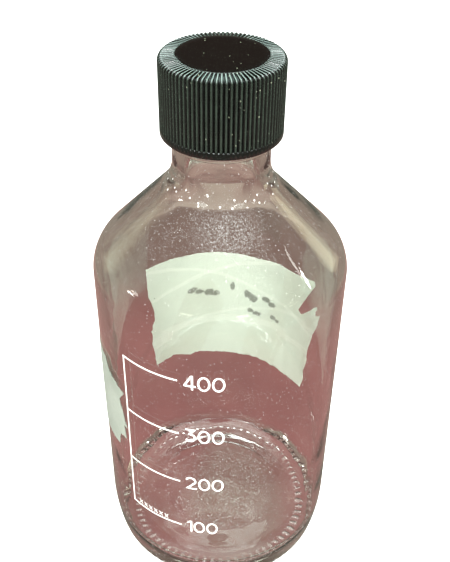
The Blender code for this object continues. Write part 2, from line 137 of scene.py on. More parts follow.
# Cap liner: the ring pressed into the facing by the lip
DENT_DEPTH = 0.15 * MM
DENT_WIDTH = 0.9 * MM
DENT_REACH = 2.5 * MM
FACING_EDGE = 0.15 * MM
BACKING_EDGE = 0.3 * MM

# Print and paper
PRINT_SINK = 0.02 * MM
PRINT_STAND = 0.06 * MM
PAPER_STAND = 0.16 * MM
PAPER_CREASE = 0.1 * MM
PAPER_ROW = 0.8 * MM
TEAR_DEPTH = 0.35 * MM

# Overlapping strips of tape on the large label: slope, height on the axis and half width in mm
STRIPS = ((0.34, 83.5, 0.7), (-0.3, 80.5, 0.6), (0.06, 58.5, 1.2), (0.3, 62.0, 0.6))

# Papers: node, light and shaded colour, strips, and how much painted shade darkens the outside
PAPERS = (
    ("back_label", (0.82, 0.9, 0.81), (0.7, 0.78, 0.69), STRIPS, 0.8),
    # The scrap is the same paper painted darker as shade.
    ("side_label_scrap", (0.3, 0.32, 0.27), (0.2, 0.22, 0.18), (), 0.0),
)

# Soaked-through ink on the large label: azimuth in degrees, height, half width and half height in mm
INK_BLOTS = (
    (196.5, 74.2, 2.0, 1.6),
    (192.5, 73.2, 2.2, 1.5),
    (187.5, 72.4, 2.2, 1.7),
    (184.0, 71.6, 2.2, 1.4),
    (173.2, 75.2, 1.2, 1.9),
    (163.5, 72.6, 1.8, 2.0),
    (160.0, 71.0, 1.6, 2.0),
    (152.5, 72.0, 2.0, 1.7),
    (148.6, 70.4, 1.8, 1.7),
    (161.5, 64.6, 1.8, 1.3),
    (157.5, 63.6, 1.8, 1.3),
    (147.5, 63.6, 1.3, 1.2),
    (144.0, 63.0, 1.1, 1.0),
)

# Dirt and painted highlights on the glass: the thickest dust on the shoulder, white drops painted as glints
# round the foot of the neck, the grains on the inner floor and a whitish film painted as a highlight at the
# front of its corner
DUST_CENTRE = Vector((2.5, -20.5, 140.0)) * MM
DUST_SPREAD = Vector((10.0, 9.0, 7.0)) * MM
GLINT_DROP_BAND = (145.6 * MM, 149.2 * MM)
GRAIN_BAND = (4.8 * MM, 6.5 * MM)
GRAIN_RADII = (24 * MM, 16 * MM)
HIGHLIGHT_FILM_BAND = (6.4 * MM, 7.6 * MM)
HIGHLIGHT_FILM_FRONT = (23 * MM, 31 * MM)

# The bench in linear colours, painted as glow: near to far as seen through the glass, then as a painted
# reflection that the glass mirrors
BENCH_ROSE = ((0.29, 0.115, 0.11), (0.35, 0.145, 0.135))
BENCH_GREY = (0.22, 0.15, 0.125)
BENCH_CREAM = (0.5, 0.41, 0.335)
BENCH_BROWN = (0.3, 0.225, 0.18)
BENCH_CAUSTIC = (0.27, 0.19, 0.155)
MIRRORED_BEIGE = (0.27, 0.265, 0.215)
MIRRORED_ROSE = (0.56, 0.34, 0.29)
CAUSTIC_CENTRE = (0.009, -0.002)
CAUSTIC_SIZE = (0.021, 0.04)

# What the glass and the cap mirror: azimuth, elevation, half width, half height, soft edge, colour
ROOM_WALLS = (
    (124, 11, 0.1, 0.16, 0.05, (1.9, 1.8, 1.25)),
    (-121, 8, 0.1, 0.12, 0.08, (0.85, 0.8, 0.56)),
    (180, 36, 0.7, 0.3, 0.1, (0.08, 0.045, 0.035)),
)
ROOM_LAMPS = (
    (-84, 21.5, 0.06, 0.02, 0.01, (30, 30, 28)),
    (91.5, 25.7, 0.012, 0.016, 0.008, (45, 45, 42)),
    (68, 25, 0.08, 0.006, 0.006, (8, 8, 7)),
    (24, 34, 0.08, 0.02, 0.02, (5, 5, 4.6)),
    (-31, 33, 0.07, 0.02, 0.02, (4, 4, 3.7)),
)

# Area lights: name, place, target, size, power and colour; those named cap_ reach the cap alone
BODY_MIDDLE = (0, 0, 0.09)
CAP_TOP = (0, 0, CAP_TOP_Z)
WHITE = (1, 1, 1)
LIGHTS = (
    ("overhead", (0.0, 0.0, 1.3), BODY_MIDDLE, (1.5, 0.9), 22, (0.88, 1.0, 0.96)),
    ("fill", (0.0, -1.4, 1.1), BODY_MIDDLE, (1.6, 1.0), 34, WHITE),
    ("lamp", (-0.45, -0.35, 1.2), BODY_MIDDLE, (0.09, 0.09), 2.2, WHITE),
    ("cap_rim", (-0.25, 0.81, 1.03), CAP_TOP, (0.2, 0.9), 9, (0.75, 1.0, 0.93)),
    ("lamp", (0.45, -0.35, 1.2), BODY_MIDDLE, (0.09, 0.09), 2.2, WHITE),
    ("cap_rim", (0.25, 0.81, 1.03), CAP_TOP, (0.2, 0.9), 9, (0.75, 1.0, 0.93)),
    ("cap_glint", (-0.1, -0.2, 1.25), CAP_TOP, (0.1, 0.1), 2, (0.85, 1.0, 0.96)),
)

# Camera
CAMERA_PLACE = Vector((1.59, -219.7, 274.6)) * MM
CAMERA_PITCH = 0.650
CAMERA_ROLL = 0.0147
FOCAL_SHARE = 848.2 / 562
SENSOR = 36.0


# ---------------------------------------------------------------- shapes


def arc(center, radius, start, end, steps):
    """Points of a circular arc in the profile plane, both ends included."""
    angles = [start + (end - start) * step / steps for step in range(steps + 1)]
    return [
        (center[0] + radius * math.cos(angle), center[1] + radius * math.sin(angle))
        for angle in angles
    ]


def line(start, end, steps):
    """Points between two profile points, both ends left out."""
    shares = [step / steps for step in range(1, steps)]
    return [
        (start[0] + (end[0] - start[0]) * share, start[1] + (end[1] - start[1]) * share)
        for share in shares
    ]


def smooth_step(value):
    value = min(1.0, max(0.0, value))
    return value * value * (3 - 2 * value)


def turned(name, profile, steps, move=None):
    """A closed skin turned from (radius, height) points, each of which move may shift."""
    work = bmesh.new()
    rings = []
    for index, (radius, height) in enumerate(profile):
        ring = []
        for step in range(steps if radius > 0 else 1):
            azimuth = 2 * math.pi * step / steps
            r, z = radius, height
            if move and radius > 0:
                r, z = move(azimuth, index, radius, height)
            ring.append(work.verts.new((r * math.sin(azimuth), -r * math.cos(azimuth), z)))
        rings.append(ring)
    for upper, lower in zip(rings, rings[1:]):
        for step in range(steps):
            following = (step + 1) % steps
            corners = [
                upper[step % len(upper)],
                lower[step % len(lower)],
                lower[following % len(lower)],
                upper[following % len(upper)],
            ]
            work.faces.new(list(dict.fromkeys(corners)))
    mesh = bpy.data.meshes.new(name)
    work.to_mesh(mesh)
    work.free()
    piece = bpy.data.objects.new(name, mesh)
    bpy.context.scene.collection.objects.link(piece)
    return piece


def smooth(piece, crease=40):
    piece.data.shade_smooth()
    piece.data.set_sharp_from_angle(angle=math.radians(crease))


def thread_bulge(azimuth, height, start_z, turns, full_height, width):
    """How far a single-start right-handed thread stands out at this place."""
    bulge = 0.0
    from_start = (azimuth - THREAD_START_AZIMUTH) % (2 * math.pi)
    for turn in range(math.ceil(turns)):
        along = from_start + 2 * math.pi * turn
        left = 2 * math.pi * turns - along
        if left < 0:
            continue
        centre = start_z + PITCH * along / (2 * math.pi)
        across = abs(height - centre) / (width / 2)
        if across < 1:
            lead = smooth_step(min(along, left) / THREAD_LEAD_IN)
            bulge = max(bulge, full_height * lead * (1 - across**2) ** 0.7)
    return bulge


def neck_top_of_cone():
    """Height where the concave neck fillet turns into the straight neck."""
    foot_r = BODY_RADIUS - SHOULDER_RADIUS * (1 - math.cos(CONE_ANGLE))
    head_r = NECK_RADIUS + NECK_FILLET * (1 - math.cos(CONE_ANGLE))
    arcs_rise = (SHOULDER_RADIUS + NECK_FILLET) * math.sin(CONE_ANGLE)
    return SHOULDER_Z + arcs_rise + (foot_r - head_r) / math.tan(CONE_ANGLE)


def glass_inner_profile():
    """From the middle of the floor out through its wide corner, up the wall and the neck to the lip."""
    corner_r = BODY_RADIUS - WALL - FLOOR_CORNER
    bore_center = (BORE_RADIUS + BORE_FILLET, neck_top_of_cone() - BORE_FILLET_DROP)
    wall_top = (BODY_RADIUS - WALL, SHOULDER_Z - INNER_SHOULDER_DROP)
    shoulder_center = (wall_top[0] - INNER_SHOULDER_RADIUS, wall_top[1])
    floor = [corner_r * step / 24 for step in range(25)]
    drop = FLOOR_EDGE_Z - FLOOR_CENTRE_Z
    points = [(radius, FLOOR_CENTRE_Z + drop * (radius / corner_r) ** 2) for radius in floor]
    rise = [math.pi / 2 * step / 24 for step in range(1, 25)]
    points += [
        (
            corner_r + FLOOR_CORNER * math.sin(angle),
            FLOOR_EDGE_Z + FLOOR_CORNER_HEIGHT * (1 - math.cos(angle)),
        )
        for angle in rise
    ]
    points += line(points[-1], wall_top, 40)
    points += arc(shoulder_center, INNER_SHOULDER_RADIUS, 0, CONE_ANGLE, 12)
    fillet = arc(bore_center, BORE_FILLET, math.pi + CONE_ANGLE, math.pi, 12)
    points += line(points[-1], fillet[0], 12)
    points += fillet
    lip_center = (BORE_RADIUS + LIP_ROUND, LIP_Z - LIP_ROUND)
    lip = arc(lip_center, LIP_ROUND, math.pi, math.pi / 2, LIP_STEPS)
    points += line(points[-1], lip[0], 8)
    return points + lip


def dome_height(radius):
    """The push-up under the base, with the fine ring that the mould plate leaves on it."""
    mark = math.exp(-(((radius - BASE_MARK_RADIUS) / (0.5 * MM)) ** 2))
    return PUSH_UP * (1 - (radius / FOOT_INNER_RADIUS) ** 2) + BASE_MARK_HEIGHT * mark


def glass_outer_profile():
    """From the lip down the neck, its bead, the shoulder and the wall, round the toe and under the base."""
    neck_center = (NECK_RADIUS + NECK_FILLET, neck_top_of_cone())
    shoulder_center = (BODY_RADIUS - SHOULDER_RADIUS, SHOULDER_Z)
    lip_center = (NECK_RADIUS - LIP_ROUND, LIP_Z - LIP_ROUND)
    points = arc(lip_center, LIP_ROUND, math.pi / 2, 0, LIP_STEPS)
    bead_angles = [math.pi * step / 12 for step in range(13)]
    bead = [
        (NECK_RADIUS + BEAD_DEPTH * math.sin(angle), BEAD_Z + BEAD_HEIGHT / 2 * math.cos(angle))
        for angle in bead_angles
    ]
    points += line(points[-1], bead[0], 60) + bead
    fillet = arc(neck_center, NECK_FILLET, math.pi, math.pi + CONE_ANGLE, 14)
    points += line(points[-1], fillet[0], 6) + fillet
    shoulder = arc(shoulder_center, SHOULDER_RADIUS, CONE_ANGLE, 0, 14)
    points += line(points[-1], shoulder[0], 12) + shoulder
    toe_top_z = TOE_RADIUS * (1 - math.sin(HEEL_ANGLE))
    heel_center = (BODY_RADIUS - HEEL_SWEEP, toe_top_z + HEEL_SWEEP * math.sin(HEEL_ANGLE))
    heel = arc(heel_center, HEEL_SWEEP, 0, -HEEL_ANGLE, 10)
    points += line(points[-1], heel[0], 40) + heel
    toe_center = (heel[-1][0] - TOE_RADIUS * math.cos(HEEL_ANGLE), TOE_RADIUS)
    points += arc(toe_center, TOE_RADIUS, -HEEL_ANGLE, -math.pi / 2, 12)[1:]
    points += line(points[-1], (FOOT_INNER_RADIUS, 0), 16)
    dome = [FOOT_INNER_RADIUS * (48 - step) / 48 for step in range(49)]
    return points + [(radius, dome_height(radius)) for radius in dome]


def inner_wave(place, radius, height):
    """An inner point moved by the waves of the glass: sideways on the wall, up and down on the floor."""
    wave = noise.noise(place) + 0.5 * noise.noise(place * 2.3 + Vector((7, 1, 3)))
    if height > FLOOR_EDGE_Z + FLOOR_CORNER_HEIGHT:
        return radius + INNER_WAVE * wave, height
    return radius, height + 0.5 * INNER_WAVE * wave * radius / BODY_RADIUS


def outer_wave(place, radius, height):
    """An outer point moved a little inwards, never out."""
    wave = noise.noise(place * 1.4) - 0.6
    return radius + OUTER_WAVE * min(0.0, wave), height


def knurl_groove(azimuth, radius):
    """How deep the standing ring is grooved: rounded short grooves, most worn at the back."""
    across = (radius - KNURL_RADIUS) / (KNURL_LENGTH / 2)
    groove = (0.5 - 0.5 * math.cos(KNURLS * azimuth)) ** 2
    sharp = (0.5 + 0.5 * math.cos(azimuth - KNURL_SHARPEST)) ** 1.5
    depth = KNURL_DEPTH * (KNURL_WORN + (1 - KNURL_WORN) * sharp)
    return depth * groove * (1 - across**4)


def make_glass():
    inner = glass_inner_profile()
    wavy = len(inner) - LIP_STEPS - 1

    def move(azimuth, index, radius, height):
        place = Vector((math.sin(azimuth), math.cos(azimuth), 0)) * WAVES_ROUND
        place.z = height * WAVES_PER_METRE
        if index < wavy:
            return inner_wave(place, radius, height)
        if height < PUSH_UP and abs(radius - KNURL_RADIUS) < KNURL_LENGTH / 2:
            return radius, height + knurl_groove(azimuth, radius)
        if height > BEAD_Z + BEAD_HEIGHT and radius > BORE_RADIUS + 2 * LIP_ROUND:
            thread = (THREAD_START_Z, NECK_THREAD_TURNS, NECK_THREAD_HEIGHT, NECK_THREAD_WIDTH)
            return radius + thread_bulge(azimuth, height, *thread), height
        return outer_wave(place, radius, height)

    glass = turned("glass_body", inner + glass_outer_profile(), GLASS_STEPS, move)
    smooth(glass, 60)
    return glass


def cap_profile():
    """Over the top and down the ribbed side, then up the inside to the ceiling."""
    corner = (CAP_RADIUS - CAP_CORNER, CAP_TOP_Z - CAP_TOP_SLOPE - CAP_CORNER)
    ceiling_z = CAP_TOP_Z - CAP_TOP_THICKNESS
    band_z = CAP_BOTTOM_Z + BAND_HEIGHT
    foot = (CAP_RADIUS - EDGE_ROUND, CAP_BOTTOM_Z + EDGE_ROUND)
    points = [(0, CAP_TOP_Z)]
    points += [(PANEL_RADIUS * step / 6, CAP_TOP_Z) for step in range(1, 7)]
    points += arc((PANEL_RADIUS, CAP_TOP_Z - PANEL_STEP), PANEL_STEP, math.pi / 2, 0, 3)[1:]
    ring_start = PANEL_RADIUS + PANEL_STEP
    points += [(ring_start + RIB_FOOT * step / 3, CAP_TOP_Z - PANEL_STEP) for step in range(1, 4)]
    points += line(points[-1], (corner[0], corner[1] + CAP_CORNER), 6)
    points += arc(corner, CAP_CORNER, math.pi / 2, 0, 8)
    points += line(points[-1], (CAP_RADIUS, band_z + RIB_FOOT), 6)
    points += [(CAP_RADIUS, band_z + RIB_FOOT * (4 - step) / 4) for step in range(5)]
    points += arc(foot, EDGE_ROUND, 0, -math.pi / 2, 5)
    inner_foot = (CAP_ROOT_RADIUS + EDGE_ROUND, CAP_BOTTOM_Z + EDGE_ROUND)
    points += arc(inner_foot, EDGE_ROUND, -math.pi / 2, -math.pi, 4)
    inner_corner = (CAP_ROOT_RADIUS - CEILING_ROUND, ceiling_z - CEILING_ROUND)
    points += line(points[-1], (CAP_ROOT_RADIUS, inner_corner[1]), 56)
    points += arc(inner_corner, CEILING_ROUND, 0, math.pi / 2, 4)
    points += [(CAP_ROOT_RADIUS / 2, ceiling_z), (0, ceiling_z)]
    return points


def make_cap():
    corner = Vector((CAP_RADIUS - CAP_CORNER, CAP_TOP_Z - CAP_TOP_SLOPE - CAP_CORNER))
    band_z = CAP_BOTTOM_Z + BAND_HEIGHT

    def move(azimuth, index, radius, height):
        if radius < CAP_ROOT_RADIUS + 0.1 * MM and height < CAP_TOP_Z - CAP_TOP_THICKNESS:
            start_z = THREAD_START_Z - PITCH / 2
            thread = (start_z, CAP_THREAD_TURNS, CAP_THREAD_HEIGHT, CAP_THREAD_WIDTH)
            return radius - thread_bulge(azimuth, height, *thread), height
        on_side = radius > CAP_RADIUS - CAP_CORNER / 2 and height > band_z
        on_top = radius > PANEL_RADIUS + PANEL_STEP and height > corner.y
        if not (on_side or on_top):
            return radius, height
        side_fade = smooth_step((height - band_z) / RIB_FOOT)
        top_fade = smooth_step((radius - PANEL_RADIUS - PANEL_STEP) / RIB_FOOT)
        groove = 1 - abs(math.cos(RIBS * azimuth / 2))
        here = Vector((radius, height))
        core = Vector((min(radius, corner.x), min(height, corner.y)))
        inset = here + (core - here).normalized() * RIB_DEPTH * groove * side_fade * top_fade
        return inset.x, inset.y

    cap = turned("cap_shell", cap_profile(), CAP_STEPS, move)
    smooth(cap, 50)
    return cap


def make_disc(name, radius, bottom_z, top_z, edge, dent=0.0):
    """A liner layer with rounded edges and, underneath, the ring that the lip has pressed into it."""
    lip_middle = (BORE_RADIUS + NECK_RADIUS) / 2

    def dented(at):
        return bottom_z + dent * math.exp(-(((at - lip_middle) / DENT_WIDTH) ** 2))

    points = [(0, top_z), (radius * 0.5, top_z)]
    points += arc((radius - edge, top_z - edge), edge, math.pi / 2, 0, 4)
    points += arc((radius - edge, bottom_z + edge), edge, 0, -math.pi / 2, 4)
    under = [lip_middle + DENT_REACH * (1 - step / 4) for step in range(9)]
    points += [(at, dented(at)) for at in under]
    points += [(radius * 0.3, bottom_z), (0, bottom_z)]
    disc = turned(name, points, 120)
    smooth(disc)
    return disc


def fine_copy(node_name, piece_name, height_step=None):
    """A copy of a CAD sheet cut into narrow upright strips and, if asked, into rows."""
    work = bmesh.new()
    work.from_mesh(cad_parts[node_name].data)
    step = math.radians(1)
    for index in range(180):
        normal = (math.cos(index * step), math.sin(index * step), 0)
        geometry = work.verts[:] + work.edges[:] + work.faces[:]
        bmesh.ops.bisect_plane(work, geom=geometry, plane_co=(0, 0, 0), plane_no=normal)
    if height_step:
        heights = [v.co.z for v in work.verts]
        rows = int((max(heights) - min(heights)) / height_step)
        for row in range(1, rows + 1):
            geometry = work.verts[:] + work.edges[:] + work.faces[:]
            place = (0, 0, min(heights) + row * height_step)
            bmesh.ops.bisect_plane(work, geom=geometry, plane_co=place, plane_no=(0, 0, 1))
    bmesh.ops.remove_doubles(work, verts=work.verts, dist=0.004 * MM)
    mesh = bpy.data.meshes.new(piece_name)
    work.to_mesh(mesh)
    work.free()
    piece = bpy.data.objects.new(piece_name, mesh)
    bpy.context.scene.collection.objects.link(piece)
    return piece


def set_radius(vertex, radius):
    scale = radius / math.hypot(vertex.co.x, vertex.co.y)
    vertex.co.x *= scale
    vertex.co.y *= scale


def sheet_middle(piece):
    radii = [math.hypot(vertex.co.x, vertex.co.y) for vertex in piece.data.vertices]
    return (min(radii) + max(radii)) / 2


def make_print(node_name, piece_name):
    piece = fine_copy(node_name, piece_name)
    middle = sheet_middle(piece)
    for vertex in piece.data.vertices:
        outside = math.hypot(vertex.co.x, vertex.co.y) > middle
        set_radius(vertex, BODY_RADIUS + (PRINT_STAND if outside else -PRINT_SINK))
    smooth(piece)
    return piece


def make_paper(node_name, piece_name):
    """Torn paper: the outline is frayed by a fine noise field and the face is slightly creased."""
    piece = fine_copy(node_name, piece_name, PAPER_ROW)
    middle = sheet_middle(piece)
    for vertex in piece.data.vertices:
        outside = math.hypot(vertex.co.x, vertex.co.y) > middle
        azimuth = math.atan2(vertex.co.x, -vertex.co.y)
        flat = Vector((azimuth * BODY_RADIUS, vertex.co.z, 0)) / MM
        fray = noise.noise_vector(flat * 0.9) + 0.5 * noise.noise_vector(flat * 2.7)
        azimuth += fray.x * TEAR_DEPTH / BODY_RADIUS
        crease = max(0.0, noise.noise(flat * 0.13)) * PAPER_CREASE
        radius = BODY_RADIUS + (PAPER_STAND + crease if outside else -PRINT_SINK)
        vertex.co.x = radius * math.sin(azimuth)
        vertex.co.y = -radius * math.cos(azimuth)
        vertex.co.z += fray.y * TEAR_DEPTH
    smooth(piece)
    return piece


# ---------------------------------------------------------------- materials


class Nodes:
    """Short calls for one node tree."""

    def __init__(self, tree):
        self.tree = tree

    def add(self, kind, inputs=None, **settings):
        node = self.tree.nodes.new(kind)
        for key, value in settings.items():
            setattr(node, key, value)
        for key, value in (inputs or {}).items():
            if isinstance(value, bpy.types.NodeSocket):
                self.tree.links.new(value, node.inputs[key])
            else:
                node.inputs[key].default_value = value
        return node

    def math(self, operation, first, second=0.0, third=0.0, clamp=False):
        inputs = {0: first, 1: second, 2: third}
        return self.add("ShaderNodeMath", inputs, operation=operation, use_clamp=clamp).outputs[0]

    def vector(self, operation, first, second):
        inputs = {0: first, 1: second}
        return self.add("ShaderNodeVectorMath", inputs, operation=operation).outputs[0]

    def dot(self, first, second):
        inputs = {0: first, 1: second}
        return self.add("ShaderNodeVectorMath", inputs, operation="DOT_PRODUCT").outputs["Value"]

    def length(self, first):
        node = self.add("ShaderNodeVectorMath", {0: first}, operation="LENGTH")
        return node.outputs["Value"]

    def ramp(self, value, low, high):
        """0 below low and 1 above high, smoothly between; low may be above high."""
        inputs = {"Value": value, "From Min": low, "From Max": high}
        node = self.add("ShaderNodeMapRange", inputs, interpolation_type="SMOOTHSTEP")
        return node.outputs["Result"]

    def mix(self, factor, first, second):
        inputs = {"Factor": factor, "A": first, "B": second}
        node = self.tree.nodes.new("ShaderNodeMix")
        node.data_type = "RGBA"
        for key, value in inputs.items():
            socket = next(s for s in node.inputs if s.name == key and s.enabled)
            if isinstance(value, bpy.types.NodeSocket):
                self.tree.links.new(value, socket)
            else:
                socket.default_value = value if key == "Factor" else (*value, 1)
        return next(s for s in node.outputs if s.enabled)

    def noise(self, place, scale, detail=2.0, roughness=0.5, distortion=0.0):
        inputs = {
            "Vector": place,
            "Scale": scale,
            "Detail": detail,
            "Roughness": roughness,
            "Distortion": distortion,
        }
        return self.add("ShaderNodeTexNoise", inputs).outputs["Fac"]

    def cells(self, place, scale, **settings):
        return self.add("ShaderNodeTexVoronoi", {"Vector": place, "Scale": scale}, **settings)

    def place(self, scale=(1, 1, 1)):
        """The piece's own coordinates, in metres, stretched along its axes."""
        coordinates = self.add("ShaderNodeTexCoord").outputs["Object"]
        return self.add("ShaderNodeMapping", {"Vector": coordinates, "Scale": scale}).outputs[0]

    def bump(self, height, strength, distance):
        inputs = {"Height": height, "Strength": strength, "Distance": distance}
        return self.add("ShaderNodeBump", inputs).outputs["Normal"]


def new_material(name):
    material = bpy.data.materials.new(name)
    material.use_nodes = True
    material.node_tree.nodes.clear()
    return material, Nodes(material.node_tree)


def output(nodes, surface):
    nodes.add("ShaderNodeOutputMaterial", {"Surface": surface})


def radius_and_height(nodes, place):
    radius = nodes.length(nodes.vector("MULTIPLY", place, (1, 1, 0)))
    return radius, nodes.add("ShaderNodeSeparateXYZ", {0: place}).outputs[2]


def unrolled(nodes, place):
    """The distance round the neck and the height, as the first two coordinates."""
    parts = nodes.add("ShaderNodeSeparateXYZ", {0: place})
    front = nodes.math("MULTIPLY", parts.outputs[1], -1.0)
    along = nodes.math("MULTIPLY", nodes.math("ARCTAN2", parts.outputs[0], front), NECK_RADIUS)
    return nodes.add("ShaderNodeCombineXYZ", {0: along, 1: parts.outputs[2]}).outputs[0]


def speckle(nodes, place, scale, size, share, dimensions="3D"):
    """Small round specks in this share of the cells of a pattern with so many cells to the metre."""
    cells = nodes.cells(place, scale, voronoi_dimensions=dimensions)
    dots = nodes.ramp(cells.outputs["Distance"], size, 0.6 * size)
    pick = nodes.add("ShaderNodeSeparateColor", {0: cells.outputs["Color"]}).outputs[0]
    return nodes.math("MULTIPLY", dots, nodes.ramp(pick, 1 - share - 0.02, 1 - share + 0.02))


def within(nodes, value, low, high, edge):
    """1 between low and high, 0 outside, with soft edges."""
    return nodes.math(
        "MULTIPLY", nodes.ramp(value, low - edge, low), nodes.ramp(value, high + edge, high)
    )


def dust_layers(nodes, place, radius, height):
    """Powder and hairs on what faces up, the heap on the front of the shoulder, grains on the floor."""
    facing = nodes.add("ShaderNodeNewGeometry").outputs["Normal"]
    up = nodes.add("ShaderNodeSeparateXYZ", {0: facing}).outputs[2]
    patches = nodes.ramp(nodes.noise(place, 38, 3), 0.4, 0.65)
    settled = nodes.math("MULTIPLY", nodes.ramp(up, 0.2, 0.8), patches)
    fine = nodes.noise(place, 2300, 3, 0.7)
    powder = nodes.math("MULTIPLY", nodes.ramp(fine, 0.6, 0.72), settled)
    curl = nodes.noise(place, 210, 1, 0.5, 1.5)
    hairs = nodes.ramp(nodes.math("ABSOLUTE", nodes.math("SUBTRACT", curl, 0.62)), 0.006, 0.0)
    hairs = nodes.math("MULTIPLY", hairs, settled)
    offset = nodes.vector("SUBTRACT", place, DUST_CENTRE)
    away = nodes.length(nodes.vector("DIVIDE", offset, DUST_SPREAD))
    heap = nodes.math("MULTIPLY", nodes.ramp(away, 1.6, 0.1), nodes.ramp(fine, 0.48, 0.7))
    grains = nodes.math("MULTIPLY", nodes.ramp(fine, 0.54, 0.62), nodes.ramp(radius, *GRAIN_RADII))
    grains = nodes.math("MULTIPLY", grains, within(nodes, height, *GRAIN_BAND, 0.2 * MM))
    return [(powder, 0.45), (hairs, 0.2), (heap, 0.3), (grains, 0.3)]


def glint_and_highlight_layers(nodes, place, radius, height):
    """White drops painted as glints round the outside of the neck's foot, and a whitish film painted as a
    highlight inside the front of the floor's corner.
    """
    # White drops painted as glints round the neck's foot.
    glint_drops = speckle(nodes, unrolled(nodes, place), 430, 0.14, 0.8, "2D")
    glint_drops = nodes.math("MULTIPLY", glint_drops, within(nodes, height, *GLINT_DROP_BAND, 0.3 * MM))
    outside = nodes.ramp(radius, NECK_RADIUS - 0.4 * MM, NECK_RADIUS - 0.2 * MM)
    glint_drops = nodes.math("MULTIPLY", glint_drops, outside)
    # A whitish film painted as a highlight inside the front of the floor's corner.
    front = nodes.math("MULTIPLY", nodes.add("ShaderNodeSeparateXYZ", {0: place}).outputs[1], -1.0)
    band = within(nodes, height, *HIGHLIGHT_FILM_BAND, 0.7 * MM)
    film = nodes.math("MULTIPLY", nodes.ramp(front, *HIGHLIGHT_FILM_FRONT), band)
    inside = nodes.ramp(radius, BODY_RADIUS - 1.2 * WALL, BODY_RADIUS - 2 * WALL)
    return [(glint_drops, 0.75), (nodes.math("MULTIPLY", film, inside), 0.08)]


def wear_layers(nodes, place, radius, height):
    """Specks, worn patches of upright scratches, and dirt in the grooves of the standing ring."""
    specks = speckle(nodes, place, 1000, 0.17, 0.18)
    streaks = nodes.noise(nodes.place((1400, 1400, 26)), 1, 1)
    scratches = nodes.ramp(nodes.math("ABSOLUTE", nodes.math("SUBTRACT", streaks, 0.5)), 0.004, 0.0)
    worn = nodes.ramp(nodes.noise(place, 55, 2), 0.58, 0.66)
    scratches = nodes.math("MULTIPLY", scratches, worn)
    groove_edge = KNURL_LENGTH / 2
    grooves = within(nodes, radius, KNURL_RADIUS - groove_edge, KNURL_RADIUS + groove_edge, 0.1 * MM)
    depths = within(nodes, height, 0.3 * MM, KNURL_DEPTH, 0.15 * MM)
    return [(specks, 0.5), (scratches, 0.22), (nodes.math("MULTIPLY", grooves, depths), 0.2)]


def glass_dirt_and_highlights(nodes, place):
    """How much dirt and painted highlight hide the glass: the strongest of its layers at each place."""
    radius, height = radius_and_height(nodes, place)
    layers = dust_layers(nodes, place, radius, height)
    layers += glint_and_highlight_layers(nodes, place, radius, height)
    layers += wear_layers(nodes, place, radius, height)
    dirt_and_highlights = 0.0
    for layer, weight in layers:
        dirt_and_highlights = nodes.math("MAXIMUM", nodes.math("MULTIPLY", layer, weight), dirt_and_highlights)
    return dirt_and_highlights


def glass_material():
    """Clear glass, faintly tinted and wavy, dulled where dirt and painted highlights lie; shadow rays pass
    straight through.
    """
    material, nodes = new_material("clear_glass")
    place = nodes.place()
    dirt_and_highlights = glass_dirt_and_highlights(nodes, place)
    waves = nodes.noise(place, 60, 2)
    shader = nodes.add(
        "ShaderNodeBsdfPrincipled",
        {
            "Base Color": nodes.mix(dirt_and_highlights, (0.985, 0.985, 0.97), (0.8, 0.78, 0.72)),
            "Roughness": nodes.math("MULTIPLY", dirt_and_highlights, 0.6),
            "IOR": 1.5,
            "Transmission Weight": nodes.math("SUBTRACT", 1.0, dirt_and_highlights, clamp=True),
            "Normal": nodes.bump(waves, 0.12, 0.001),
        },
    )
    shadow = nodes.add("ShaderNodeLightPath").outputs["Is Shadow Ray"]
    open_way = nodes.add("ShaderNodeBsdfTransparent", {"Color": (0.97, 0.98, 0.96, 1)})
    mixed = nodes.add(
        "ShaderNodeMixShader", {0: shadow, 1: shader.outputs[0], 2: open_way.outputs[0]}
    )
    output(nodes, mixed.outputs[0])
    return material


def rib_masks(nodes, place):
    """Masks of the rib crests, of their grooves and of the crests on the flat ring round the panel."""
    radius, height = radius_and_height(nodes, place)
    beyond = nodes.math("SUBTRACT", radius, CAP_RADIUS - CAP_CORNER)
    out = nodes.math("MAXIMUM", beyond, 0.0)
    slant = nodes.math("MULTIPLY", nodes.math("MINIMUM", beyond, 0.0), RING_SLANT)
    level = nodes.math("ADD", height, slant)
    up = nodes.math("SUBTRACT", level, CAP_TOP_Z - CAP_TOP_SLOPE - CAP_CORNER)
    up = nodes.math("MAXIMUM", up, 0.0)
    squares = nodes.math("ADD", nodes.math("POWER", out, 2), nodes.math("POWER", up, 2))
    reach = nodes.math("SQRT", squares)
    crest = nodes.ramp(reach, CAP_CORNER - 0.35 * RIB_DEPTH, CAP_CORNER)
    narrow = nodes.ramp(reach, CAP_CORNER - 0.16 * RIB_DEPTH, CAP_CORNER - 0.04 * RIB_DEPTH)
    upper = nodes.ramp(up, 0.3 * CAP_CORNER, 0.8 * CAP_CORNER)
    ring = nodes.ramp(radius, PANEL_RADIUS, PANEL_RADIUS + 0.4 * MM)
    band_z = CAP_BOTTOM_Z + BAND_HEIGHT
    ribbed = nodes.ramp(height, band_z + 0.6 * RIB_FOOT, band_z + 2 * RIB_FOOT)
    ribbed = nodes.math("MULTIPLY", ring, ribbed)
    crest = nodes.math("MULTIPLY", crest, ribbed)
    worn = nodes.math("MULTIPLY", nodes.math("MULTIPLY", narrow, upper), ribbed)
    return crest, nodes.math("SUBTRACT", ribbed, crest), worn


